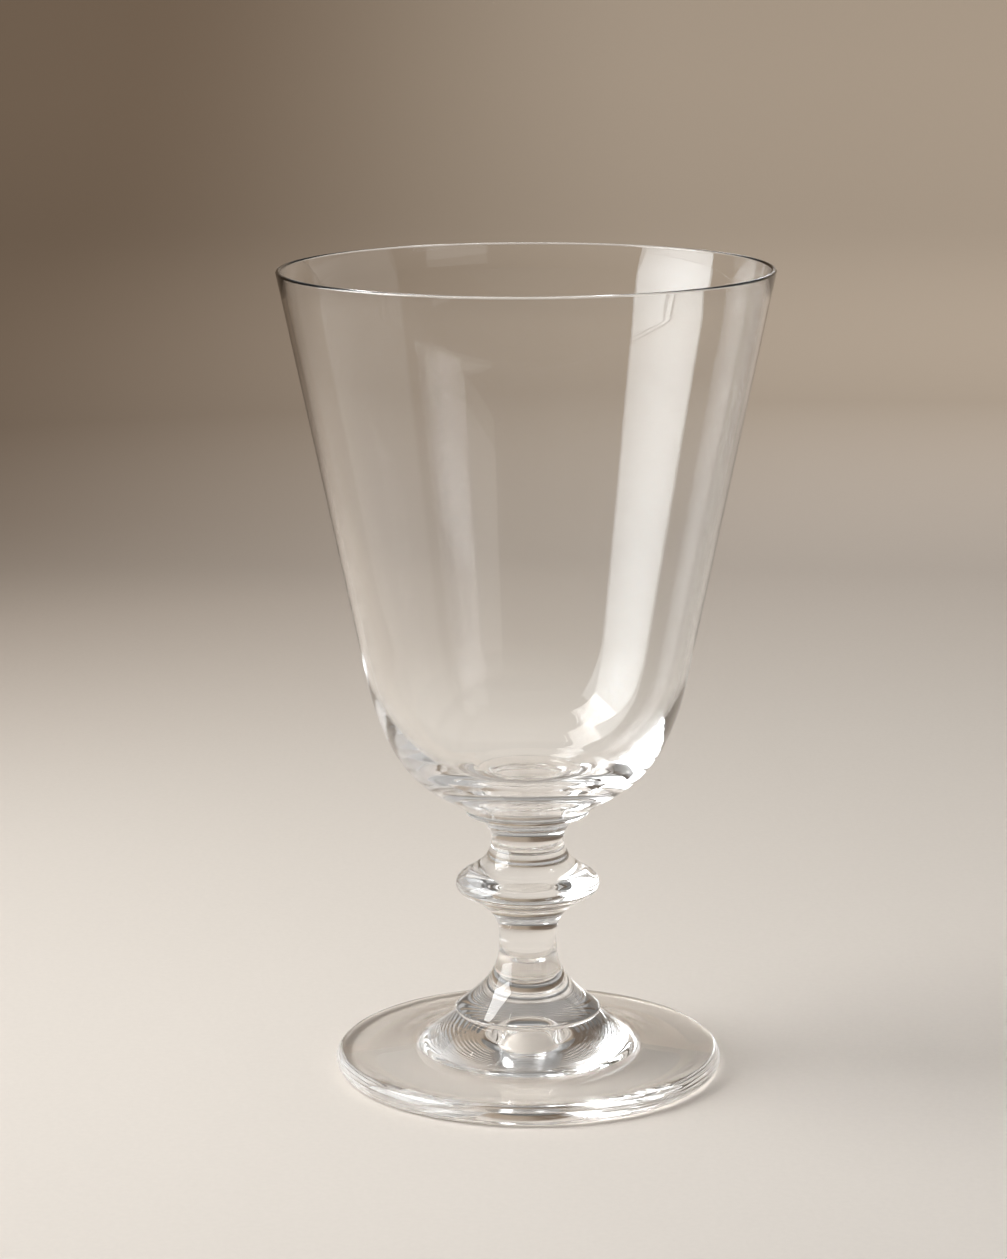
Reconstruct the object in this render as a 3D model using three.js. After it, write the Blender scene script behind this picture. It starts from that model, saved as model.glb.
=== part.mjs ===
// A clear crystal goblet, made of seven gathers of glass that are joined hot, end to end:
// foot, stem bell, lower stem, knop, upper stem, bowl collar and bowl.
// Millimetres, +Z up, origin at the centre of the ring that the foot stands on.

import * as THREE from 'three';

// Fineness of the turned shapes
const facets = 60; // flat sides round the axis
const curveSteps = 4; // straight steps in a short curve of an outline
const longCurveSteps = 8; // straight steps in a long one
const curvePull = 0.35; // length of a curve's two handles, as a share of its chord

// Foot: a disc with a rolled edge that rises to the stem
const footRadius = 36.1; // widest point of the rolled edge
const footWidestHeight = 1.75;
const footRingOuterRadius = 34.7; // flat ring that touches the table
const footRingInnerRadius = 31.5;
const footEdgeRadius = 34.6; // where the rolled edge turns into the top
const footEdgeHeight = 3.6;
const footRiseRadius = 23.6; // where the top starts to rise to the stem
const footRiseHeight = 4.59;
const footConeRadius = 18.6; // where the rise runs into a straight cone
const footConeHeight = 6.1;
const footRisePull = 0.45; // a fuller curve than the rest
const footHeight = 10.3; // up to the joint under the bell
const footJointRadius = 12.9;

// Hollow in the underside of the foot: very shallow, with a small dome in its middle
const hollowCrownThickness = 5.1; // glass left between the dome and the joint
const hollowDomeRadius = 5.2;
const hollowDomeHeight = 1.3; // where the dome is that wide
const hollowDomeLean = 24; // degrees from upright, there
const hollowDomePull = 0.52; // the dome is rounder than the other curves
const hollowMouthRadius = 6.8; // rounded mouth of the dome
const hollowMouthHeight = 0.45;
const hollowCrestRadius = 17; // highest part of the shallow hollow
const hollowCrestHeight = 1;

// Bell: the flared lower end of the stem, with a rounded lip over the foot
const bellHeight = 11.7;
const bellLipRadius = 13.6;
const bellLipHeight = 0.78; // widest point of the lip, above the joint
const bellLipTopRadius = 13.1;
const bellLipTopHeight = 1.2;
const bellFlareLean = 50;

// Lower stem: a short waist between the bell and the knop
const lowerStemLength = 5;
const lowerStemRadius = 5.35; // at the waist
const lowerStemWaistHeight = 2.4;
const lowerStemBellFlare = 0.12; // how much each end is wider than the waist
const lowerStemKnopFlare = 0.2;
const lowerStemBellLean = 5.5;
const lowerStemKnopLean = 10;

// Knop: the ring-shaped swelling of the stem
const knopHeight = 14.5;
const knopRadius = 13.39;
const knopWidestHeight = 8.18;
const knopUnderRadius = 9.7; // straight part below the edge
const knopUnderHeight = 5.13;
const knopUnderLean = 51;
const knopOverRadius = 10.18; // straight part above the edge
const knopOverHeight = 11.31;
const knopOverLean = 54;

// Upper stem: a short waist between the knop and the collar
const upperStemLength = 3.3;
const upperStemRadius = 6.72;
const upperStemWaistHeight = 2.1;
const upperStemKnopFlare = 0.56;
const upperStemCollarFlare = 0.18;
const upperStemKnopLean = 26;
const upperStemCollarLean = 17;

// Collar: the wafer of glass that carries the bowl
const collarHeight = 4.5;
const collarRadius = 11.5;
const collarEdgeHeight = 0.3; // upright edge just below the bowl
const collarUnderRadius = 9.53;
const collarUnderHeight = 3.34;
const collarUnderLean = 63;

// Bowl: a rounded base and a straight wall that opens towards the rim
const bowlHeight = 100.5;
const bowlJointRadius = 11.2;
const bowlJointLean = 52;
const bowlBaseRadius = 16.86; // end of the shallow flare above the collar
const bowlBaseHeight = 3.62;
const bowlBaseLean = 60.5;
const bowlTurnRadius = 29.77; // where the rounded base meets the straight wall
const bowlTurnHeight = 26.2;
const rimRadius = 45;
const rimWall = 0.9; // thickness of the wall at the fire-polished rim
const bowlTurnWall = 1.3; // thickness where the straight wall starts
const bowlHeelRadius = 14; // inside, where the rounded base runs into the floor
const bowlHeelHeight = 6.9;
const bowlHeelLean = 76;
const floorRingRadius = 10.6; // faint crease that rings the floor
const floorRingHeight = 6.3;
const floorRingOuterLean = 82;
const floorRingInnerLean = 70;
const floorFlatRadius = 7.8; // level middle of the floor
const floorFlatLean = 86;
const bowlFloorThickness = 5.4; // glass between the middle of the floor and the collar

// Glass
const crystalColour = 0xe8e4dd;
const crystalRoughness = 0.03;
const crystalOpacity = 0.4;

// Directions along an outline, in radians: outward is 0 and up is a quarter turn.
const outward = 0;
const up = Math.PI / 2;
const inward = Math.PI;
const upAndOut = (lean) => up - THREE.MathUtils.degToRad(lean);
const upAndIn = (lean) => up + THREE.MathUtils.degToRad(lean);
const downAndOut = (lean) => -up + THREE.MathUtils.degToRad(lean);
const downAndIn = (lean) => -up - THREE.MathUtils.degToRad(lean);

// An outline is drawn from the axis at the bottom, round the outside and back to the axis.
class Outline {
  constructor(radius, height) {
    this.points = [new THREE.Vector2(radius, height)];
  }

  get end() {
    return this.points[this.points.length - 1];
  }

  lineTo(radius, height) {
    this.points.push(new THREE.Vector2(radius, height));
    return this;
  }

  // A cubic curve that sets off along leave and comes in along arrive
  curveTo(radius, height, leave, arrive, steps = curveSteps, pull = curvePull) {
    const start = this.end;
    const finish = new THREE.Vector2(radius, height);
    const reach = pull * start.distanceTo(finish);
    const handle = (angle) => new THREE.Vector2(Math.cos(angle), Math.sin(angle)).multiplyScalar(reach);
    const curve = new THREE.CubicBezierCurve(
      start,
      start.clone().add(handle(leave)),
      finish.clone().sub(handle(arrive)),
      finish,
    );
    this.points.push(...curve.getPoints(steps).slice(1));
    return this;
  }
}

function turnedPiece(name, outline, baseHeight) {
  const geometry = new THREE.LatheGeometry(outline.points, facets);
  geometry.rotateX(Math.PI / 2);
  const material = new THREE.MeshStandardMaterial({
    color: crystalColour,
    roughness: crystalRoughness,
    metalness: 0,
    transparent: true,
    opacity: crystalOpacity,
  });
  const piece = new THREE.Mesh(geometry, material);
  piece.name = name;
  piece.position.z = baseHeight;
  return piece;
}

function footOutline() {
  const crestSlope = Math.atan2(
    hollowCrestHeight - hollowMouthHeight,
    hollowCrestRadius - hollowMouthRadius,
  );
  const topSlope = Math.atan2(footRiseHeight - footEdgeHeight, footRiseRadius - footEdgeRadius);
  const coneSlope = Math.atan2(footHeight - footConeHeight, footJointRadius - footConeRadius);
  return new Outline(0, footHeight - hollowCrownThickness)
    .curveTo(
      hollowDomeRadius,
      hollowDomeHeight,
      outward,
      downAndOut(hollowDomeLean),
      longCurveSteps,
      hollowDomePull,
    )
    .curveTo(hollowMouthRadius, hollowMouthHeight, downAndOut(hollowDomeLean), outward)
    .lineTo(hollowCrestRadius, hollowCrestHeight)
    .curveTo(footRingInnerRadius, 0, crestSlope, outward, longCurveSteps)
    .lineTo(footRingOuterRadius, 0)
    .curveTo(footRadius, footWidestHeight, outward, up)
    .curveTo(footEdgeRadius, footEdgeHeight, up, topSlope)
    .lineTo(footRiseRadius, footRiseHeight)
    .curveTo(footConeRadius, footConeHeight, topSlope, coneSlope, longCurveSteps, footRisePull)
    .lineTo(footJointRadius, footHeight)
    .lineTo(0, footHeight);
}

function bellOutline() {
  const topRadius = lowerStemRadius + lowerStemBellFlare;
  return new Outline(0, 0)
    .lineTo(footJointRadius, 0)
    .curveTo(bellLipRadius, bellLipHeight, outward, up)
    .curveTo(bellLipTopRadius, bellLipTopHeight, up, upAndIn(bellFlareLean))
    .curveTo(topRadius, bellHeight, upAndIn(bellFlareLean), upAndIn(lowerStemBellLean), longCurveSteps)
    .lineTo(0, bellHeight);
}

function lowerStemOutline() {
  return new Outline(0, 0)
    .lineTo(lowerStemRadius + lowerStemBellFlare, 0)
    .curveTo(lowerStemRadius, lowerStemWaistHeight, upAndIn(lowerStemBellLean), up)
    .curveTo(lowerStemRadius + lowerStemKnopFlare, lowerStemLength, up, upAndOut(lowerStemKnopLean))
    .lineTo(0, lowerStemLength);
}

function knopOutline() {
  return new Outline(0, 0)
    .lineTo(lowerStemRadius + lowerStemKnopFlare, 0)
    .curveTo(knopUnderRadius, knopUnderHeight, upAndOut(lowerStemKnopLean), upAndOut(knopUnderLean))
    .curveTo(knopRadius, knopWidestHeight, upAndOut(knopUnderLean), up)
    .curveTo(knopOverRadius, knopOverHeight, up, upAndIn(knopOverLean))
    .curveTo(
      upperStemRadius + upperStemKnopFlare,
      knopHeight,
      upAndIn(knopOverLean),
      upAndIn(upperStemKnopLean),
    )
    .lineTo(0, knopHeight);
}

function upperStemOutline() {
  return new Outline(0, 0)
    .lineTo(upperStemRadius + upperStemKnopFlare, 0)
    .curveTo(upperStemRadius, upperStemWaistHeight, upAndIn(upperStemKnopLean), up)
    .curveTo(
      upperStemRadius + upperStemCollarFlare,
      upperStemLength,
      up,
      upAndOut(upperStemCollarLean),
    )
    .lineTo(0, upperStemLength);
}

function collarOutline() {
  return new Outline(0, 0)
    .lineTo(upperStemRadius + upperStemCollarFlare, 0)
    .curveTo(
      collarUnderRadius,
      collarUnderHeight,
      upAndOut(upperStemCollarLean),
      upAndOut(collarUnderLean),
    )
    .lineTo(collarRadius, collarHeight - collarEdgeHeight)
    .lineTo(collarRadius, collarHeight)
    .lineTo(0, collarHeight);
}

function bowlOutline() {
  const lipRadius = rimWall / 2;
  const lipHeight = bowlHeight - lipRadius;
  const outerWall = Math.atan2(lipHeight - bowlTurnHeight, rimRadius - bowlTurnRadius);
  const innerTurnRadius = bowlTurnRadius - bowlTurnWall;
  const innerRise = lipHeight - bowlTurnHeight;
  const innerWall = Math.atan2(-innerRise, innerTurnRadius - (rimRadius - rimWall));
  return new Outline(0, 0)
    .lineTo(bowlJointRadius, 0)
    .curveTo(bowlBaseRadius, bowlBaseHeight, upAndOut(bowlJointLean), upAndOut(bowlBaseLean))
    .curveTo(bowlTurnRadius, bowlTurnHeight, upAndOut(bowlBaseLean), outerWall, longCurveSteps)
    .lineTo(rimRadius, lipHeight)
    .curveTo(rimRadius - lipRadius, bowlHeight, up, inward)
    .curveTo(rimRadius - rimWall, lipHeight, inward, -up)
    .lineTo(innerTurnRadius, bowlTurnHeight)
    .curveTo(bowlHeelRadius, bowlHeelHeight, innerWall, downAndIn(bowlHeelLean), longCurveSteps)
    .curveTo(
      floorRingRadius,
      floorRingHeight,
      downAndIn(bowlHeelLean),
      downAndIn(floorRingOuterLean),
    )
    .curveTo(
      floorFlatRadius,
      bowlFloorThickness,
      downAndIn(floorRingInnerLean),
      downAndIn(floorFlatLean),
    )
    .lineTo(0, bowlFloorThickness);
}

// Each piece stands on the flat end of the one before it.
const pieces = [
  ['foot', footOutline, footHeight],
  ['stem_bell', bellOutline, bellHeight],
  ['lower_stem', lowerStemOutline, lowerStemLength],
  ['knop', knopOutline, knopHeight],
  ['upper_stem', upperStemOutline, upperStemLength],
  ['bowl_collar', collarOutline, collarHeight],
  ['bowl', bowlOutline, bowlHeight],
];

const goblet = new THREE.Group();
let baseHeight = 0;
for (const [name, outline, height] of pieces) {
  goblet.add(turnedPiece(name, outline(), baseHeight));
  baseHeight += height;
}

export default goblet;
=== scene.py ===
"""A clear crystal goblet on a plain pale sweep: the looks, built round the packed frame."""

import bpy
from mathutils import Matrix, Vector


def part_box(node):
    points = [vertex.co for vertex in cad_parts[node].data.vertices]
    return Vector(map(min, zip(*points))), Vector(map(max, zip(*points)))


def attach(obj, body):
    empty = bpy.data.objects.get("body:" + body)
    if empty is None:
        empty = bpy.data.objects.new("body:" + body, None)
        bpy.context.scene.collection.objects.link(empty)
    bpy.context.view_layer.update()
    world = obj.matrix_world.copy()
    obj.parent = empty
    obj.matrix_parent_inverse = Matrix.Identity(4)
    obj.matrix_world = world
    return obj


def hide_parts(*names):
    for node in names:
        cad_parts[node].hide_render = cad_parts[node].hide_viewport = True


bl_info = {
    "name": "Crystal Goblet",
    "version": (1, 0, 0),
    "blender": (4, 5, 0),
    "location": "3D View > Sidebar > Goblet",
    "description": "Builds a turned crystal goblet of seven joined pieces, with its stage",
    "category": "Add Mesh",
}

import math

import bpy
from bpy.props import FloatProperty, FloatVectorProperty, IntProperty, PointerProperty
from mathutils import Matrix, Vector

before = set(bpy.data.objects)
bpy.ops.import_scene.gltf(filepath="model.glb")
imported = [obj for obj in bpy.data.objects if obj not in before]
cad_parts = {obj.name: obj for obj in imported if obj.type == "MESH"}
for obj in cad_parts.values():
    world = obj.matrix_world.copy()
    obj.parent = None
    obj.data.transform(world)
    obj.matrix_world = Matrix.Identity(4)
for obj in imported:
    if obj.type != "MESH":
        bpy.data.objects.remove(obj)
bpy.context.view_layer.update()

MM = 0.001
BODY = "root"

# Directions along an outline, in radians: outward is 0 and up is a quarter turn
OUTWARD = 0.0
UP = math.pi / 2
INWARD = math.pi


def up_and_out(lean):
    return UP - lean


def up_and_in(lean):
    return UP + lean


def down_and_out(lean):
    return lean - UP


def down_and_in(lean):
    return -UP - lean


def slope(radius, height, next_radius, next_height):
    """Direction of the straight line from one place on an outline to the next."""
    return math.atan2(next_height - height, next_radius - radius)


# Places and sizes that the frame already holds
FOOT_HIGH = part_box("foot")[1]
BELL_LOW, BELL_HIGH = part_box("stem_bell")
LOWER_LOW, LOWER_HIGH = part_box("lower_stem")
KNOP_LOW, KNOP_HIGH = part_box("knop")
UPPER_LOW, UPPER_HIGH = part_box("upper_stem")
COLLAR_LOW, COLLAR_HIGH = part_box("bowl_collar")
BOWL_LOW, BOWL_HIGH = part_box("bowl")

# Fineness of the outlines and of the turned meshes
CURVE_PULL = 0.35  # length of a curve's two handles, as a share of its chord
CURVE_STEPS = 16  # steps in each curve of an outline
PATH_RADIUS = 0.05  # circle that the outline is carried round
WELD = 2e-7  # closes the seam on the axis
JOINT_REACH = 2e-6  # how near a joint's height its end faces lie
SHARP_ANGLE = math.radians(35)


def length(name, description, default):
    """A size in metres that the panel shows."""
    return FloatProperty(
        name=name, description=description, default=default, min=0.0, unit="LENGTH", precision=5
    )


def angle(name, description, degrees):
    """An angle that the panel shows."""
    return FloatProperty(
        name=name, description=description, default=math.radians(degrees), subtype="ANGLE"
    )


def colour(name, description, default):
    """A colour that the panel shows."""
    return FloatVectorProperty(
        name=name, description=description, default=default, min=0.0, max=1.0, subtype="COLOR"
    )


def power(name, description, watts):
    """A lamp's power in watts that the panel shows."""
    return FloatProperty(name=name, description=description, default=watts, min=0.0)


class GobletCrystal(bpy.types.PropertyGroup):
    """The glass, and how finely it is turned."""

    tint: colour("Tint", "Colour of light that has crossed the glass", (0.992, 0.988, 0.98))
    refraction: FloatProperty(
        name="Refraction", description="Index of refraction of the glass", default=1.52, min=1.0
    )
    sides: IntProperty(name="Sides", description="Flat sides round the axis", default=320, min=24)
    polish_wave: length("Polish wave", "Height of the waves that fire polishing leaves", 0.0015 * MM)
    ring_pitch: length("Ring pitch", "Step from one tool ring under the foot to the next", 0.75 * MM)
    ring_depth: length("Ring depth", "Depth of the tool rings under the foot", 0.018 * MM)


class GobletFoot(bpy.types.PropertyGroup):
    """The foot: a disc with a rolled edge, a rise to the stem and a hollow underneath."""

    radius: length("Radius", "Widest point of the rolled edge", FOOT_HIGH.x)
    height: length("Height", "Up to the joint under the bell", FOOT_HIGH.z)
    widest_height: length("Widest height", "Where the rolled edge is widest", 1.75 * MM)
    ring_outer: length("Ring outer radius", "Outer edge of the flat ring it stands on", 34.7 * MM)
    ring_inner: length("Ring inner radius", "Inner edge of the flat ring it stands on", 31.5 * MM)
    edge_radius: length("Edge radius", "Where the rolled edge turns into the top", 34.6 * MM)
    edge_height: length("Edge height", "Height of the top at its edge", 3.6 * MM)
    rise_radius: length("Rise radius", "Where the top starts to rise", 23.6 * MM)
    rise_height: length("Rise height", "Height of the top where it starts to rise", 4.59 * MM)
    cone_radius: length("Cone radius", "Where the rise runs into a straight cone", 18.6 * MM)
    cone_height: length("Cone height", "Height where the straight cone starts", 6.1 * MM)
    rise_pull: FloatProperty(name="Rise pull", description="Fullness of the rise", default=0.45)
    joint_radius: length("Joint radius", "Radius of the joint under the bell", 12.9 * MM)
    crown_thickness: length("Crown thickness", "Glass left above the dome", 5.1 * MM)
    dome_radius: length("Dome radius", "Width of the dome in the hollow", 5.2 * MM)
    dome_height: length("Dome height", "Where the dome is that wide", 1.3 * MM)
    dome_lean: angle("Dome lean", "Lean of the dome's wall there", 24)
    dome_pull: FloatProperty(name="Dome pull", description="Roundness of the dome", default=0.52)
    mouth_radius: length("Mouth radius", "Rounded mouth of the dome", 6.8 * MM)
    mouth_height: length("Mouth height", "Height of the dome's mouth", 0.45 * MM)
    crest_radius: length("Crest radius", "Highest part of the shallow hollow", 17 * MM)
    crest_height: length("Crest height", "Height of that part", 1 * MM)


class GobletStem(bpy.types.PropertyGroup):
    """The five pieces of the stem: bell, two waists, knop and collar."""

    bell_lip_radius: length("Bell lip radius", "Widest point of the lip", BELL_HIGH.x)
    bell_lip_height: length("Bell lip height", "Widest point of the lip, above the joint", 0.78 * MM)
    bell_top_radius: length("Bell lip top radius", "Where the lip ends", 13.1 * MM)
    bell_top_height: length("Bell lip top height", "Where the lip ends, above the joint", 1.2 * MM)
    bell_lean: angle("Bell lean", "Lean of the bell above its lip", 50)
    lower_radius: length("Lower waist radius", "Narrowest point of the lower stem", 5.35 * MM)
    lower_waist: length("Lower waist height", "Narrowest point, above its joint", 2.4 * MM)
    lower_bell_flare: length("Lower bell flare", "Extra radius at the bell", 0.12 * MM)
    lower_knop_flare: length("Lower knop flare", "Extra radius at the knop", 0.2 * MM)
    lower_bell_lean: angle("Lower bell lean", "Lean of the lower stem at the bell", 5.5)
    lower_knop_lean: angle("Lower knop lean", "Lean of the lower stem at the knop", 10)
    knop_radius: length("Knop radius", "Widest point of the knop", KNOP_HIGH.x)
    knop_widest: length("Knop widest height", "Widest point, above its joint", 8.18 * MM)
    knop_under_radius: length("Knop under radius", "Straight part below the edge", 9.7 * MM)
    knop_under_height: length("Knop under height", "Straight part below the edge", 5.13 * MM)
    knop_under_lean: angle("Knop under lean", "Lean of the part below the edge", 51)
    knop_over_radius: length("Knop over radius", "Straight part above the edge", 10.18 * MM)
    knop_over_height: length("Knop over height", "Straight part above the edge", 11.31 * MM)
    knop_over_lean: angle("Knop over lean", "Lean of the part above the edge", 54)
    upper_radius: length("Upper waist radius", "Narrowest point of the upper stem", 6.72 * MM)
    upper_waist: length("Upper waist height", "Narrowest point, above its joint", 2.1 * MM)
    upper_knop_flare: length("Upper knop flare", "Extra radius at the knop", 0.56 * MM)
    upper_collar_flare: length("Upper collar flare", "Extra radius at the collar", 0.18 * MM)
    upper_knop_lean: angle("Upper knop lean", "Lean of the upper stem at the knop", 26)
    upper_collar_lean: angle("Upper collar lean", "Lean of the upper stem at the collar", 17)
    collar_radius: length("Collar radius", "Edge of the collar", COLLAR_HIGH.x)
    collar_edge: length("Collar edge", "Height of its upright edge", 0.3 * MM)
    collar_under_radius: length("Collar under radius", "End of its hollow underside", 9.53 * MM)
    collar_under_height: length("Collar under height", "End of its hollow underside", 3.34 * MM)
    collar_under_lean: angle("Collar under lean", "Lean of its underside there", 63)


class GobletBowl(bpy.types.PropertyGroup):
    """The bowl: a rounded base, a straight wall that opens upwards and a polished rim."""

    rim_radius: length("Rim radius", "Outside of the rim", BOWL_HIGH.x)
    rim_wall: length("Rim wall", "Thickness of the wall at the rim", 0.9 * MM)
    joint_radius: length("Joint radius", "Radius of the joint on the collar", 11.2 * MM)
    joint_lean: angle("Joint lean", "Lean of the base at the joint", 52)
    base_radius: length("Base radius", "End of the shallow flare above the collar", 16.86 * MM)
    base_height: length("Base height", "End of that flare, above the joint", 3.62 * MM)
    base_lean: angle("Base lean", "Lean of the base there", 60.5)
    turn_radius: length("Turn radius", "Where the round base meets the wall", 29.77 * MM)
    turn_height: length("Turn height", "That place, above the joint", 26.2 * MM)
    turn_wall: length("Turn wall", "Thickness of the wall there", 1.3 * MM)
    heel_radius: length("Heel radius", "Inside, where the base runs into the floor", 14 * MM)
    heel_height: length("Heel height", "That place, above the joint", 6.9 * MM)
    heel_lean: angle("Heel lean", "Lean of the inside there", 76)
    ring_radius: length("Floor ring radius", "Faint crease that rings the floor", 10.6 * MM)
    ring_height: length("Floor ring height", "That crease, above the joint", 6.3 * MM)
    ring_outer_lean: angle("Floor ring outer lean", "Lean outside the crease", 82)
    ring_inner_lean: angle("Floor ring inner lean", "Lean inside the crease", 70)
    flat_radius: length("Floor flat radius", "Level middle of the floor", 7.8 * MM)
    flat_lean: angle("Floor flat lean", "Lean at the edge of the level middle", 86)
    floor_thickness: length("Floor thickness", "Glass below the middle of the floor", 5.4 * MM)


class GobletStage(bpy.types.PropertyGroup):
    """The sweep that the goblet stands on, its light and the camera."""

    # Floor to edge: painted shade, the sweep darker the farther it lies from the goblet
    floor_colour: colour("Floor", "Colour of the sweep under the goblet", (0.68, 0.628, 0.577))
    near_colour: colour("Near", "Colour a little way off", (0.667, 0.605, 0.54))
    fall_colour: colour("Fall", "Colour where the sweep falls away", (0.655, 0.575, 0.50))
    far_colour: colour("Far", "Colour behind the goblet", (0.41, 0.337, 0.267))
    edge_colour: colour("Edge", "Colour of the sweep's upturn", (0.56, 0.46, 0.36))
    near_reach: length("Near reach", "Distance of the near colour", 0.37)
    fall_reach: length("Fall reach", "Distance of the fall colour", 0.57)
    far_reach: length("Far reach", "Distance of the far colour", 0.95)
    edge_reach: length("Edge reach", "Distance of the edge colour", 2.1)
    shade_colour: colour("Shade", "What the far left is dimmed to", (0.48, 0.425, 0.375))
    radius: length("Radius", "Outer edge of the sweep", 2.8)
    curve: length("Curve", "Radius of the sweep's upturn", 1.2)
    rise: length("Rise", "Height of the sweep's edge", 1.0)
    gap: length("Gap", "Air between the sweep and the foot", 0.2 * MM)
    key_power: power("Key", "Power of the panel on the left", 1.3)
    key_beam: angle("Key beam", "Spread of the light from that panel", 90)
    key_colour: colour("Key colour", "Colour of the panel on the left", (0.92, 0.97, 1.0))
    high_power: power("High", "Power of the panel high on the left", 2.5)
    high_beam: angle("High beam", "Spread of the light from that panel", 120)
    fill_power: power("Fill", "Power of the low panel in front on the right", 0.3)
    side_power: power("Side", "Power of the broad panel on the right", 1.1)
    top_power: power("Top", "Power of the panel overhead", 9.5)
    back_power: power("Back", "Power of the panel that faces the far sweep", 22.0)
    sky_colour: colour("Room", "Colour of the light from all round", (1.0, 0.97, 0.93))
    sky_strength: FloatProperty(name="Room strength", description="Light from all round", default=0.16)
    camera_distance: length("Camera distance", "From the goblet's axis, level", 0.6394)
    camera_height: length("Camera height", "Above the table", 0.2198)
    camera_pitch: angle("Camera pitch", "Downward tilt", 12.049)
    camera_yaw: angle("Camera yaw", "Turn to the left", 0.387)
    camera_roll: angle("Camera roll", "Roll", -0.238)
    camera_lens: FloatProperty(name="Lens", description="Focal length in mm", default=101.8)


class Outline:
    """Half of a turned piece's section: from the axis at the bottom, round the outside and back."""

    def __init__(self, radius, height):
        self.places = [(radius, height)]
        self.spans = []

    def line_to(self, radius, height):
        self.places.append((radius, height))
        self.spans.append(None)
        return self

    def curve_to(self, radius, height, leave, arrive, pull=CURVE_PULL):
        """A cubic curve that sets off along leave and comes in along arrive."""
        self.places.append((radius, height))
        self.spans.append((leave, arrive, pull))
        return self

    def handles(self, span):
        """The two handles of a span: on its curve, or at the thirds of its straight line."""
        start = Vector(self.places[span])
        finish = Vector(self.places[span + 1])
        if self.spans[span] is None:
            return start.lerp(finish, 1 / 3), start.lerp(finish, 2 / 3)
        leave, arrive, pull = self.spans[span]
        reach = pull * (finish - start).length
        out = start + reach * Vector((math.cos(leave), math.sin(leave)))
        back = finish - reach * Vector((math.cos(arrive), math.sin(arrive)))
        return out, back

    def curve(self, name):
        """The outline as a Bezier curve, with radius along X and height along Z."""
        data = bpy.data.curves.new(name, "CURVE")
        data.dimensions = "3D"
        data.resolution_u = CURVE_STEPS
        spline = data.splines.new("BEZIER")
        spline.bezier_points.add(len(self.places) - 1)
        spline.resolution_u = CURVE_STEPS
        for point, (radius, height) in zip(spline.bezier_points, self.places):
            point.handle_left_type = point.handle_right_type = "FREE"
            point.co = point.handle_left = point.handle_right = (radius, 0, height)
        for span in range(len(self.spans)):
            out, back = self.handles(span)
            spline.bezier_points[span].handle_right = (out.x, 0, out.y)
            spline.bezier_points[span + 1].handle_left = (back.x, 0, back.y)
        holder = bpy.data.objects.new(name, data)
        bpy.context.scene.collection.objects.link(holder)
        return holder


class Tree:
    """Short calls for adding and joining the nodes of one tree."""

    def __init__(self, tree):
        self.tree = tree

    def node(self, kind, settings=None, **inputs):
        """A node with its settings, and inputs that are joined to a socket or set to a value.

        An input goes by its name, with _ for a space, or by its place as i0, i1 and so on."""
        made = self.tree.nodes.new(kind)
        for key, value in (settings or {}).items():
            setattr(made, key, value)
        for key, value in inputs.items():
            place = int(key[1:]) if key[1:].isdigit() else key.replace("_", " ")
            self.feed(made.inputs[place], value)
        return made

    def feed(self, socket, value):
        if isinstance(value, bpy.types.NodeSocket):
            self.tree.links.new(value, socket)
        else:
            socket.default_value = value

    def math(self, operation, *values):
        made = self.node("ShaderNodeMath", {"operation": operation})
        for socket, value in zip(made.inputs, values):
            self.feed(socket, value)
        return made.outputs[0]

    def input(self, name, kind):
        self.tree.interface.new_socket(name, in_out="INPUT", socket_type=kind)

    def output(self, name, kind):
        self.tree.interface.new_socket(name, in_out="OUTPUT", socket_type=kind)


LATHE_NAME = "Turned glass"


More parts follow.
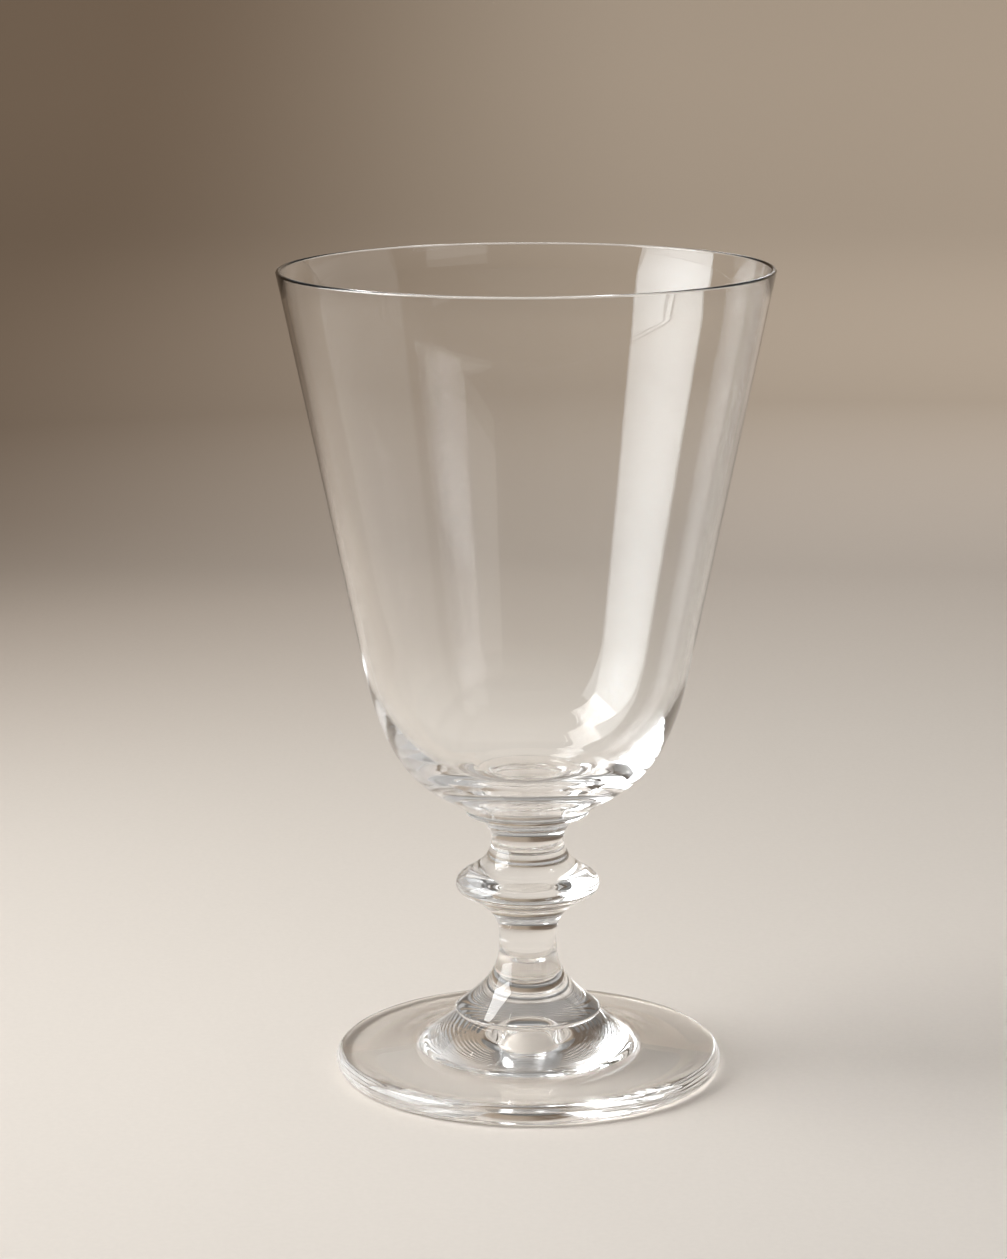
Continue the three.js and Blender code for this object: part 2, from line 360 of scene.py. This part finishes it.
def lathe_tree():
    """Carries an outline round the axis, welds it and marks the end faces that are melted together."""
    if LATHE_NAME in bpy.data.node_groups:
        return bpy.data.node_groups[LATHE_NAME]
    group = bpy.data.node_groups.new(LATHE_NAME, "GeometryNodeTree")
    tree = Tree(group)
    tree.input("Outline", "NodeSocketObject")
    tree.input("Sides", "NodeSocketInt")
    tree.input("Glass", "NodeSocketMaterial")
    tree.input("Joint", "NodeSocketMaterial")
    for end in ("Lower", "Upper"):
        tree.input(end + " joint height", "NodeSocketFloat")
        tree.input(end + " joint radius", "NodeSocketFloat")
    tree.output("Geometry", "NodeSocketGeometry")
    given = group.nodes.new("NodeGroupInput").outputs
    outline = tree.node("GeometryNodeObjectInfo", Object=given["Outline"])
    laid = tree.node(
        "GeometryNodeTransform",
        Geometry=outline.outputs["Geometry"],
        Translation=(-PATH_RADIUS, 0, 0),
        Rotation=(math.pi / 2, 0, 0),
    )
    path = tree.node(
        "GeometryNodeCurvePrimitiveCircle", Resolution=given["Sides"], Radius=PATH_RADIUS
    )
    turned = tree.node(
        "GeometryNodeCurveToMesh", Curve=path.outputs["Curve"], Profile_Curve=laid.outputs["Geometry"]
    )
    outside = tree.node("GeometryNodeFlipFaces", Mesh=turned.outputs["Mesh"])
    welded = tree.node("GeometryNodeMergeByDistance", Geometry=outside.outputs["Mesh"], Distance=WELD)
    smooth = tree.node(
        "GeometryNodeSetShadeSmooth", Geometry=welded.outputs["Geometry"], Shade_Smooth=True
    )
    place = tree.node("GeometryNodeInputPosition").outputs["Position"]
    parts = tree.node("ShaderNodeSeparateXYZ", Vector=place).outputs
    level = tree.node("ShaderNodeCombineXYZ", X=parts["X"], Y=parts["Y"])
    radius = tree.node("ShaderNodeVectorMath", {"operation": "LENGTH"}, i0=level.outputs["Vector"])
    melted = []
    for end in ("Lower", "Upper"):
        level_with = tree.math("COMPARE", parts["Z"], given[end + " joint height"], JOINT_REACH)
        inside = tree.math("LESS_THAN", radius.outputs["Value"], given[end + " joint radius"])
        melted.append(tree.math("MULTIPLY", level_with, inside))
    either = tree.math("MAXIMUM", *melted)
    whole = tree.node("GeometryNodeRealizeInstances", Geometry=smooth.outputs["Geometry"])
    glass = tree.node(
        "GeometryNodeSetMaterial", Geometry=whole.outputs["Geometry"], Material=given["Glass"]
    )
    joined = tree.node(
        "GeometryNodeSetMaterial",
        Geometry=glass.outputs["Geometry"],
        Selection=either,
        Material=given["Joint"],
    )
    result = group.nodes.new("NodeGroupOutput")
    tree.feed(result.inputs["Geometry"], joined.outputs["Geometry"])
    return group


def turned_piece(name, node, outline, glass, lower=None, upper=None):
    """Turns an outline into the finished mesh that stands for a CAD node.

    lower and upper are the (height, radius) of the joints that the piece has at its ends."""
    crystal = bpy.context.scene.goblet_crystal
    profile = outline.curve(name + "_outline")
    piece = bpy.data.objects.new(name, bpy.data.meshes.new(name))
    bpy.context.scene.collection.objects.link(piece)
    lathe = piece.modifiers.new("Lathe", "NODES")
    lathe.node_group = lathe_tree()
    values = {"Outline": profile, "Sides": crystal.sides, "Glass": glass, "Joint": joint_material()}
    for end, joint in (("Lower", lower), ("Upper", upper)):
        height, radius = joint or (0.0, 0.0)
        values[end + " joint height"] = height
        values[end + " joint radius"] = radius
    for socket in lathe.node_group.interface.items_tree:
        if socket.in_out == "INPUT":
            lathe[socket.identifier] = values[socket.name]
    depsgraph = bpy.context.evaluated_depsgraph_get()
    mesh = bpy.data.meshes.new_from_object(piece.evaluated_get(depsgraph), depsgraph=depsgraph)
    piece.modifiers.remove(lathe)
    unused, piece.data = piece.data, mesh
    bpy.data.meshes.remove(unused)
    outline_data = profile.data
    bpy.data.objects.remove(profile)
    bpy.data.curves.remove(outline_data)
    mesh.name = name
    mesh.set_sharp_from_angle(angle=SHARP_ANGLE)
    if enclosed_volume(mesh) <= 0:
        raise RuntimeError(f"{name} is inside out or empty")
    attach(piece, BODY)
    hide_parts(node)
    return piece


def enclosed_volume(mesh):
    """Volume inside a closed mesh: positive where its faces point outwards."""
    mesh.calc_loop_triangles()
    corners = [v.co for v in mesh.vertices]
    total = 0.0
    for triangle in mesh.loop_triangles:
        a, b, c = (corners[i] for i in triangle.vertices)
        total += a.dot(b.cross(c))
    return total / 6


POLISH_NAME = "Fire polish"


def polish_group():
    """Faint waves and haze that fire polishing and handling leave on glass."""
    if POLISH_NAME in bpy.data.node_groups:
        return bpy.data.node_groups[POLISH_NAME]
    group = bpy.data.node_groups.new(POLISH_NAME, "ShaderNodeTree")
    tree = Tree(group)
    tree.input("Wave length", "NodeSocketFloat")
    tree.input("Stretch", "NodeSocketFloat")
    tree.input("Haze", "NodeSocketFloat")
    tree.output("Height", "NodeSocketFloat")
    tree.output("Roughness", "NodeSocketFloat")
    given = group.nodes.new("NodeGroupInput").outputs
    place = tree.node("ShaderNodeTexCoord").outputs["Object"]
    drawn = tree.node("ShaderNodeCombineXYZ", X=1.0, Y=1.0, Z=given["Stretch"])
    pulled = tree.node(
        "ShaderNodeVectorMath", {"operation": "MULTIPLY"}, i0=place, i1=drawn.outputs["Vector"]
    )
    per_metre = tree.math("DIVIDE", 1.0, given["Wave length"])
    waves = tree.node(
        "ShaderNodeTexNoise", Vector=pulled.outputs["Vector"], Scale=per_metre, Detail=1.5, Roughness=0.4
    )
    smears = tree.node("ShaderNodeTexNoise", Vector=place, Scale=90.0, Detail=4.0, Roughness=0.55)
    cloudy = tree.node(
        "ShaderNodeMapRange", i0=smears.outputs["Fac"], i1=0.45, i2=0.8, i3=0.0, i4=given["Haze"]
    )
    result = group.nodes.new("NodeGroupOutput")
    tree.feed(result.inputs["Height"], waves.outputs["Fac"])
    tree.feed(result.inputs["Roughness"], cloudy.outputs["Result"])
    return group


def glass_material(name, wave_length, stretch, haze, relief=None):
    """Clear crystal. relief, if given, is a function that adds its own bump to the polish waves."""
    crystal = bpy.context.scene.goblet_crystal
    made = bpy.data.materials.new(name)
    made.use_nodes = True
    tree = Tree(made.node_tree)
    shader = made.node_tree.nodes["Principled BSDF"]
    shader.inputs["Base Color"].default_value = (*crystal.tint, 1)
    shader.inputs["IOR"].default_value = crystal.refraction
    shader.inputs["Transmission Weight"].default_value = 1.0
    polish = tree.node("ShaderNodeGroup", {"node_tree": polish_group()})
    polish.inputs["Wave length"].default_value = wave_length
    polish.inputs["Stretch"].default_value = stretch
    polish.inputs["Haze"].default_value = haze
    tree.feed(shader.inputs["Roughness"], polish.outputs["Roughness"])
    waves = tree.node(
        "ShaderNodeBump", Strength=1.0, Distance=crystal.polish_wave, Height=polish.outputs["Height"]
    )
    normal = waves.outputs["Normal"]
    if relief:
        normal = relief(tree, normal)
    tree.feed(shader.inputs["Normal"], normal)
    return made


JOINT_NAME = "melted_joint"


def joint_material():
    """The end faces inside the glass, which melt away where two pieces join."""
    if JOINT_NAME in bpy.data.materials:
        return bpy.data.materials[JOINT_NAME]
    made = bpy.data.materials.new(JOINT_NAME)
    made.use_nodes = True
    shader = made.node_tree.nodes["Principled BSDF"]
    shader.inputs["Base Color"].default_value = (*bpy.context.scene.goblet_crystal.tint, 1)
    shader.inputs["Roughness"].default_value = 0.0
    shader.inputs["Alpha"].default_value = 0.0
    return made


# The tool rings' unevenness, and the edges of the band that they fill
RING_DRIFT = 0.8  # how far a ring wanders, as a share of their pitch
RING_WANDER = 240.0  # scale of that wandering
RING_START = 1.15  # full depth from here, as a share of the dome's mouth
RING_END = 0.9  # full depth up to here, as a share of the hollow's crest
RING_CEILING = 1.1  # nothing above this share of the hollow's height


def tool_rings(tree, normal):
    """Fine uneven rings that shaping leaves in the shallow hollow under the foot."""
    crystal = bpy.context.scene.goblet_crystal
    foot = bpy.context.scene.goblet_foot
    place = tree.node("ShaderNodeTexCoord").outputs["Object"]
    parts = tree.node("ShaderNodeSeparateXYZ", Vector=place).outputs
    level = tree.node("ShaderNodeCombineXYZ", X=parts["X"], Y=parts["Y"])
    radius = tree.node("ShaderNodeVectorMath", {"operation": "LENGTH"}, i0=level.outputs["Vector"])
    radius = radius.outputs["Value"]
    wander = tree.node("ShaderNodeTexNoise", Vector=place, Scale=RING_WANDER, Detail=2.0)
    drift = tree.math("MULTIPLY", wander.outputs["Fac"], RING_DRIFT * crystal.ring_pitch)
    turns = tree.math("DIVIDE", tree.math("ADD", radius, drift), crystal.ring_pitch)
    rings = tree.math("SINE", tree.math("MULTIPLY", turns, 2 * math.pi))
    fade_in = tree.node(
        "ShaderNodeMapRange", i0=radius, i1=foot.mouth_radius, i2=foot.mouth_radius * RING_START
    )
    fade_out = tree.node(
        "ShaderNodeMapRange", i0=radius, i1=foot.crest_radius, i2=foot.crest_radius * RING_END
    )
    below = tree.math("LESS_THAN", parts["Z"], foot.crest_height * RING_CEILING)
    band = tree.math("MULTIPLY", fade_in.outputs["Result"], fade_out.outputs["Result"])
    height = tree.math("MULTIPLY", tree.math("MULTIPLY", rings, band), below)
    bump = tree.node(
        "ShaderNodeBump", Strength=1.0, Distance=crystal.ring_depth, Height=height, Normal=normal
    )
    return bump.outputs["Normal"]


def stem_glass():
    """The stem's glass, shared by its five pieces."""
    name = "stem_crystal"
    return bpy.data.materials.get(name) or glass_material(
        name, wave_length=6 * MM, stretch=1.0, haze=0.01
    )


class GOBLET_OT_foot(bpy.types.Operator):
    """Make the foot, with its rolled edge and the hollow underneath"""

    bl_idname = "goblet.foot"
    bl_label = "Foot"

    def execute(self, context):
        foot = context.scene.goblet_foot
        crest_slope = slope(foot.mouth_radius, foot.mouth_height, foot.crest_radius, foot.crest_height)
        top_slope = slope(foot.edge_radius, foot.edge_height, foot.rise_radius, foot.rise_height)
        cone_slope = slope(foot.cone_radius, foot.cone_height, foot.joint_radius, foot.height)
        outline = Outline(0, foot.height - foot.crown_thickness)
        outline.curve_to(
            foot.dome_radius, foot.dome_height, OUTWARD, down_and_out(foot.dome_lean), foot.dome_pull
        )
        outline.curve_to(foot.mouth_radius, foot.mouth_height, down_and_out(foot.dome_lean), OUTWARD)
        outline.line_to(foot.crest_radius, foot.crest_height)
        outline.curve_to(foot.ring_inner, 0, crest_slope, OUTWARD)
        outline.line_to(foot.ring_outer, 0)
        outline.curve_to(foot.radius, foot.widest_height, OUTWARD, UP)
        outline.curve_to(foot.edge_radius, foot.edge_height, UP, top_slope)
        outline.line_to(foot.rise_radius, foot.rise_height)
        outline.curve_to(foot.cone_radius, foot.cone_height, top_slope, cone_slope, foot.rise_pull)
        outline.line_to(foot.joint_radius, foot.height)
        outline.line_to(0, foot.height)
        glass = glass_material(
            "foot_crystal", wave_length=9 * MM, stretch=1.0, haze=0.012, relief=tool_rings
        )
        turned_piece("goblet_foot", "foot", outline, glass, upper=(foot.height, foot.joint_radius))
        return {"FINISHED"}


class GOBLET_OT_bell(bpy.types.Operator):
    """Make the flared lower end of the stem, with its rounded lip over the foot"""

    bl_idname = "goblet.bell"
    bl_label = "Stem bell"

    def execute(self, context):
        stem = context.scene.goblet_stem
        joint_radius = context.scene.goblet_foot.joint_radius
        base, top = BELL_LOW.z, BELL_HIGH.z
        top_radius = stem.lower_radius + stem.lower_bell_flare
        outline = Outline(0, base)
        outline.line_to(joint_radius, base)
        outline.curve_to(stem.bell_lip_radius, base + stem.bell_lip_height, OUTWARD, UP)
        outline.curve_to(
            stem.bell_top_radius, base + stem.bell_top_height, UP, up_and_in(stem.bell_lean)
        )
        outline.curve_to(
            top_radius, top, up_and_in(stem.bell_lean), up_and_in(stem.lower_bell_lean)
        )
        outline.line_to(0, top)
        turned_piece(
            "goblet_stem_bell", "stem_bell", outline, stem_glass(), (base, joint_radius), (top, top_radius)
        )
        return {"FINISHED"}


class GOBLET_OT_waists(bpy.types.Operator):
    """Make the two short waists of the stem, below and above the knop"""

    bl_idname = "goblet.waists"
    bl_label = "Stem waists"

    def execute(self, context):
        stem = context.scene.goblet_stem
        waists = (
            (
                "lower_stem",
                LOWER_LOW.z,
                LOWER_HIGH.z,
                stem.lower_radius,
                stem.lower_waist,
                (stem.lower_bell_flare, stem.lower_bell_lean),
                (stem.lower_knop_flare, stem.lower_knop_lean),
            ),
            (
                "upper_stem",
                UPPER_LOW.z,
                UPPER_HIGH.z,
                stem.upper_radius,
                stem.upper_waist,
                (stem.upper_knop_flare, stem.upper_knop_lean),
                (stem.upper_collar_flare, stem.upper_collar_lean),
            ),
        )
        for node, base, top, radius, waist, below, above in waists:
            lower_flare, lower_lean = below
            upper_flare, upper_lean = above
            lower_radius = radius + lower_flare
            upper_radius = radius + upper_flare
            outline = Outline(0, base)
            outline.line_to(lower_radius, base)
            outline.curve_to(radius, base + waist, up_and_in(lower_lean), UP)
            outline.curve_to(upper_radius, top, UP, up_and_out(upper_lean))
            outline.line_to(0, top)
            turned_piece(
                "goblet_" + node, node, outline, stem_glass(), (base, lower_radius), (top, upper_radius)
            )
        return {"FINISHED"}


class GOBLET_OT_knop(bpy.types.Operator):
    """Make the ring-shaped swelling of the stem"""

    bl_idname = "goblet.knop"
    bl_label = "Knop"

    def execute(self, context):
        stem = context.scene.goblet_stem
        base, top = KNOP_LOW.z, KNOP_HIGH.z
        lower_radius = stem.lower_radius + stem.lower_knop_flare
        upper_radius = stem.upper_radius + stem.upper_knop_flare
        under = up_and_out(stem.knop_under_lean)
        over = up_and_in(stem.knop_over_lean)
        outline = Outline(0, base)
        outline.line_to(lower_radius, base)
        outline.curve_to(
            stem.knop_under_radius, base + stem.knop_under_height, up_and_out(stem.lower_knop_lean), under
        )
        outline.curve_to(stem.knop_radius, base + stem.knop_widest, under, UP)
        outline.curve_to(stem.knop_over_radius, base + stem.knop_over_height, UP, over)
        outline.curve_to(upper_radius, top, over, up_and_in(stem.upper_knop_lean))
        outline.line_to(0, top)
        turned_piece(
            "goblet_knop", "knop", outline, stem_glass(), (base, lower_radius), (top, upper_radius)
        )
        return {"FINISHED"}


class GOBLET_OT_collar(bpy.types.Operator):
    """Make the wafer of glass that carries the bowl"""

    bl_idname = "goblet.collar"
    bl_label = "Bowl collar"

    def execute(self, context):
        stem = context.scene.goblet_stem
        base, top = COLLAR_LOW.z, COLLAR_HIGH.z
        lower_radius = stem.upper_radius + stem.upper_collar_flare
        joint_radius = context.scene.goblet_bowl.joint_radius
        outline = Outline(0, base)
        outline.line_to(lower_radius, base)
        outline.curve_to(
            stem.collar_under_radius,
            base + stem.collar_under_height,
            up_and_out(stem.upper_collar_lean),
            up_and_out(stem.collar_under_lean),
        )
        outline.line_to(stem.collar_radius, top - stem.collar_edge)
        outline.line_to(stem.collar_radius, top)
        outline.line_to(joint_radius, top)
        outline.line_to(0, top)
        turned_piece(
            "goblet_bowl_collar",
            "bowl_collar",
            outline,
            stem_glass(),
            (base, lower_radius),
            (top, joint_radius),
        )
        return {"FINISHED"}


class GOBLET_OT_bowl(bpy.types.Operator):
    """Make the open bowl, with its rounded base and polished rim"""

    bl_idname = "goblet.bowl"
    bl_label = "Bowl"

    def execute(self, context):
        bowl = context.scene.goblet_bowl
        base, top = BOWL_LOW.z, BOWL_HIGH.z
        lip = bowl.rim_wall / 2
        lip_height = top - lip
        turn_height = base + bowl.turn_height
        inner_turn = bowl.turn_radius - bowl.turn_wall
        inner_rim = bowl.rim_radius - bowl.rim_wall
        outer_wall = slope(bowl.turn_radius, turn_height, bowl.rim_radius, lip_height)
        inner_wall = slope(inner_rim, lip_height, inner_turn, turn_height)
        outline = Outline(0, base)
        outline.line_to(bowl.joint_radius, base)
        flare = up_and_out(bowl.base_lean)
        outline.curve_to(
            bowl.base_radius, base + bowl.base_height, up_and_out(bowl.joint_lean), flare
        )
        outline.curve_to(bowl.turn_radius, turn_height, flare, outer_wall)
        outline.line_to(bowl.rim_radius, lip_height)
        outline.curve_to(bowl.rim_radius - lip, top, UP, INWARD)
        outline.curve_to(inner_rim, lip_height, INWARD, -UP)
        outline.line_to(inner_turn, turn_height)
        outline.curve_to(
            bowl.heel_radius, base + bowl.heel_height, inner_wall, down_and_in(bowl.heel_lean)
        )
        outline.curve_to(
            bowl.ring_radius,
            base + bowl.ring_height,
            down_and_in(bowl.heel_lean),
            down_and_in(bowl.ring_outer_lean),
        )
        outline.curve_to(
            bowl.flat_radius,
            base + bowl.floor_thickness,
            down_and_in(bowl.ring_inner_lean),
            down_and_in(bowl.flat_lean),
        )
        outline.line_to(0, base + bowl.floor_thickness)
        glass = glass_material("bowl_crystal", wave_length=18 * MM, stretch=0.35, haze=0.012)
        turned_piece("goblet_bowl", "bowl", outline, glass, lower=(base, bowl.joint_radius))
        return {"FINISHED"}


# Centre of the painted shade that fades the paper, and the bounds of the painted shade over its far left
SWEEP_MIDDLE = (0.12, -0.1, 0.0)
SHADE_RIGHT = 0.12
SHADE_LEFT = -0.3
SHADE_NEAR = 0.1
SHADE_FAR = 0.6
SMOOTH = {"interpolation_type": "SMOOTHSTEP"}
SWEEP_SIDES = 96
SWEEP_STEPS = 16
PAPER_GRAIN = 900.0  # scale of the paper's grain
PAPER_SPECK = 0.03  # how far the grain lightens or darkens the paper


def sweep_material(stage):
    """Pale paper with painted shade that darkens it away from the goblet and over its far left, and a
    faint grain.
    """
    made = bpy.data.materials.new("paper_sweep")
    made.use_nodes = True
    tree = Tree(made.node_tree)
    shader = made.node_tree.nodes["Principled BSDF"]
    shader.inputs["Roughness"].default_value = 0.9
    shader.inputs["Specular IOR Level"].default_value = 0.1
    place = tree.node("ShaderNodeTexCoord").outputs["Object"]
    from_middle = tree.node(
        "ShaderNodeVectorMath", {"operation": "DISTANCE"}, i0=place, i1=SWEEP_MIDDLE
    )
    # Painted shade: the paper's colour darkens with distance from the goblet
    fade = tree.node(
        "ShaderNodeValToRGB",
        Fac=tree.math("DIVIDE", from_middle.outputs["Value"], stage.edge_reach),
    )
    stops = fade.color_ramp.elements
    stops[0].color = (*stage.floor_colour, 1)
    stops[1].color = (*stage.edge_colour, 1)
    for reach, tone in (
        (stage.near_reach, stage.near_colour),
        (stage.fall_reach, stage.fall_colour),
        (stage.far_reach, stage.far_colour),
    ):
        stops.new(reach / stage.edge_reach).color = (*tone, 1)
    parts = tree.node("ShaderNodeSeparateXYZ", Vector=place).outputs
    # Painted shade: the sweep's far left is dimmed towards the shade colour
    left = tree.node("ShaderNodeMapRange", SMOOTH, i0=parts["X"], i1=SHADE_RIGHT, i2=SHADE_LEFT)
    behind = tree.node("ShaderNodeMapRange", SMOOTH, i0=parts["Y"], i1=SHADE_NEAR, i2=SHADE_FAR)
    corner = tree.math("MULTIPLY", left.outputs["Result"], behind.outputs["Result"])
    dimmed = tree.node(
        "ShaderNodeMix", {"data_type": "RGBA"}, i0=corner, i6=(1, 1, 1, 1), i7=(*stage.shade_colour, 1)
    )
    grain = tree.node("ShaderNodeTexNoise", Vector=place, Scale=PAPER_GRAIN, Detail=3.0)
    speck = tree.node(
        "ShaderNodeMapRange", i0=grain.outputs["Fac"], i3=1 - PAPER_SPECK, i4=1 + PAPER_SPECK
    )
    # The ramp's colour times the painted shade over the far left
    paper = tree.node(
        "ShaderNodeVectorMath",
        {"operation": "MULTIPLY"},
        i0=fade.outputs["Color"],
        i1=dimmed.outputs[2],
    )
    grained = tree.node(
        "ShaderNodeVectorMath",
        {"operation": "MULTIPLY"},
        i0=paper.outputs["Vector"],
        i1=speck.outputs["Result"],
    )
    tree.feed(shader.inputs["Base Color"], grained.outputs["Vector"])
    return made


def make_sweep(stage):
    """The floor and its upturned edge, one sheet turned about the goblet's axis."""
    last = math.acos(1 - stage.rise / stage.curve)
    flat = stage.radius - stage.curve
    section = [(flat * step / SWEEP_STEPS, 0.0) for step in range(1, SWEEP_STEPS + 1)]
    for step in range(1, SWEEP_STEPS + 1):
        turn = last * step / SWEEP_STEPS
        section.append((flat + stage.curve * math.sin(turn), stage.curve * (1 - math.cos(turn))))
    corners = [(0.0, 0.0, -stage.gap)]
    for radius, height in section:
        for side in range(SWEEP_SIDES):
            around = 2 * math.pi * side / SWEEP_SIDES
            corners.append((radius * math.cos(around), radius * math.sin(around), height - stage.gap))
    faces = []
    for side in range(SWEEP_SIDES):
        beside = (side + 1) % SWEEP_SIDES
        faces.append((0, 1 + side, 1 + beside))
        for ring in range(len(section) - 1):
            near = 1 + ring * SWEEP_SIDES
            far = near + SWEEP_SIDES
            faces.append((near + side, far + side, far + beside, near + beside))
    mesh = bpy.data.meshes.new("sweep")
    mesh.from_pydata(corners, [], faces)
    mesh.shade_smooth()
    mesh.materials.append(sweep_material(stage))
    sweep = bpy.data.objects.new("sweep", mesh)
    bpy.context.scene.collection.objects.link(sweep)


LAMP_AIM = Vector((0, 0, 0.08))
BACKDROP_AIM = Vector((0.6, 3.0, 1.0))
PLAIN_WHITE = (1.0, 1.0, 1.0)
OPEN_BEAM = math.pi
SENSOR_WIDTH = 36.0  # mm


def add_panel(
    name,
    power,
    azimuth,
    distance,
    height,
    width,
    tall,
    beam=OPEN_BEAM,
    tone=PLAIN_WHITE,
    aim=LAMP_AIM,
):
    """A soft light panel. Its azimuth is in degrees to the left of the camera."""
    turn = math.radians(azimuth)
    place = Vector((-distance * math.sin(turn), -distance * math.cos(turn), height))
    data = bpy.data.lights.new(name, "AREA")
    data.shape = "RECTANGLE"
    data.size = width
    data.size_y = tall
    data.energy = power
    data.color = tone
    data.spread = beam
    panel = bpy.data.objects.new(name, data)
    panel.location = place
    panel.rotation_euler = (aim - place).to_track_quat("-Z", "Y").to_euler()
    panel.visible_camera = False
    bpy.context.scene.collection.objects.link(panel)


def add_camera(stage):
    """The photograph's view, from a little above the rim."""
    pitch, yaw, roll = stage.camera_pitch, stage.camera_yaw, stage.camera_roll
    forward = Vector((
        -math.sin(yaw) * math.cos(pitch), math.cos(yaw) * math.cos(pitch), -math.sin(pitch)
    ))
    level = Vector((math.cos(yaw), math.sin(yaw), 0))
    above = level.cross(forward)
    right = level * math.cos(roll) + above * math.sin(roll)
    upright = above * math.cos(roll) - level * math.sin(roll)
    data = bpy.data.cameras.new("photo_camera")
    data.sensor_width = SENSOR_WIDTH
    data.lens = stage.camera_lens
    data.clip_start = 0.01
    camera = bpy.data.objects.new("photo_camera", data)
    bpy.context.scene.collection.objects.link(camera)
    placed = Matrix((right, upright, -forward)).transposed().to_4x4()
    placed.translation = (0, -stage.camera_distance, stage.camera_height)
    camera.matrix_world = placed
    bpy.context.scene.camera = camera


def set_light_paths(scene):
    """Enough bounces for seven pieces of clear glass, with the light through them left sharp."""
    scene.cycles.max_bounces = 128
    scene.cycles.transmission_bounces = 96
    scene.cycles.glossy_bounces = 96
    scene.cycles.transparent_max_bounces = 64
    scene.cycles.blur_glossy = 0.0
    scene.view_settings.view_transform = "Standard"


class GOBLET_OT_stage(bpy.types.Operator):
    """Make the sweep, the light and the camera"""

    bl_idname = "goblet.stage"
    bl_label = "Stage"

    def execute(self, context):
        stage = context.scene.goblet_stage
        make_sweep(stage)
        add_panel(
            "key",
            stage.key_power,
            azimuth=83,
            distance=0.6,
            height=0.3,
            width=0.52,
            tall=0.5,
            beam=stage.key_beam,
            tone=stage.key_colour,
        )
        add_panel(
            "high",
            stage.high_power,
            azimuth=88,
            distance=0.66,
            height=0.75,
            width=0.55,
            tall=0.36,
            beam=stage.high_beam,
        )
        add_panel(
            "fill", stage.fill_power, azimuth=-35, distance=0.9, height=0.2, width=0.5, tall=0.3
        )
        add_panel(
            "side", stage.side_power, azimuth=-100, distance=1.0, height=0.4, width=1.2, tall=0.7
        )
        add_panel("top", stage.top_power, azimuth=0, distance=0.01, height=1.5, width=3.0, tall=3.0)
        add_panel(
            "back",
            stage.back_power,
            azimuth=-135,
            distance=0.65,
            height=1.0,
            width=1.0,
            tall=0.6,
            aim=BACKDROP_AIM,
        )
        world = bpy.data.worlds.new("room")
        world.use_nodes = True
        sky = world.node_tree.nodes["Background"]
        sky.inputs["Color"].default_value = (*stage.sky_colour, 1)
        sky.inputs["Strength"].default_value = stage.sky_strength
        context.scene.world = world
        add_camera(stage)
        set_light_paths(context.scene)
        return {"FINISHED"}


class GOBLET_PT_panel(bpy.types.Panel):
    """The goblet's pieces and sizes"""

    bl_idname = "GOBLET_PT_panel"
    bl_label = "Crystal Goblet"
    bl_space_type = "VIEW_3D"
    bl_region_type = "UI"
    bl_category = "Goblet"

    def draw(self, context):
        for operator in OPERATORS:
            self.layout.operator(operator.bl_idname)
        for name in SETTINGS:
            box = self.layout.box()
            settings = getattr(context.scene, name)
            box.label(text=SETTINGS[name].__doc__)
            for key in settings.__annotations__:
                box.prop(settings, key)


OPERATORS = (
    GOBLET_OT_foot,
    GOBLET_OT_bell,
    GOBLET_OT_waists,
    GOBLET_OT_knop,
    GOBLET_OT_collar,
    GOBLET_OT_bowl,
    GOBLET_OT_stage,
)

SETTINGS = {
    "goblet_crystal": GobletCrystal,
    "goblet_foot": GobletFoot,
    "goblet_stem": GobletStem,
    "goblet_bowl": GobletBowl,
    "goblet_stage": GobletStage,
}


def register():
    for cls in (*SETTINGS.values(), *OPERATORS, GOBLET_PT_panel):
        bpy.utils.register_class(cls)
    for name, group in SETTINGS.items():
        setattr(bpy.types.Scene, name, PointerProperty(type=group))


def unregister():
    for name in SETTINGS:
        delattr(bpy.types.Scene, name)
    for cls in (GOBLET_PT_panel, *reversed(OPERATORS), *reversed(SETTINGS.values())):
        bpy.utils.unregister_class(cls)


def main():
    register()
    bpy.ops.goblet.foot()
    bpy.ops.goblet.bell()
    bpy.ops.goblet.waists()
    bpy.ops.goblet.knop()
    bpy.ops.goblet.collar()
    bpy.ops.goblet.bowl()
    bpy.ops.goblet.stage()


if __name__ == "__main__":
    main()
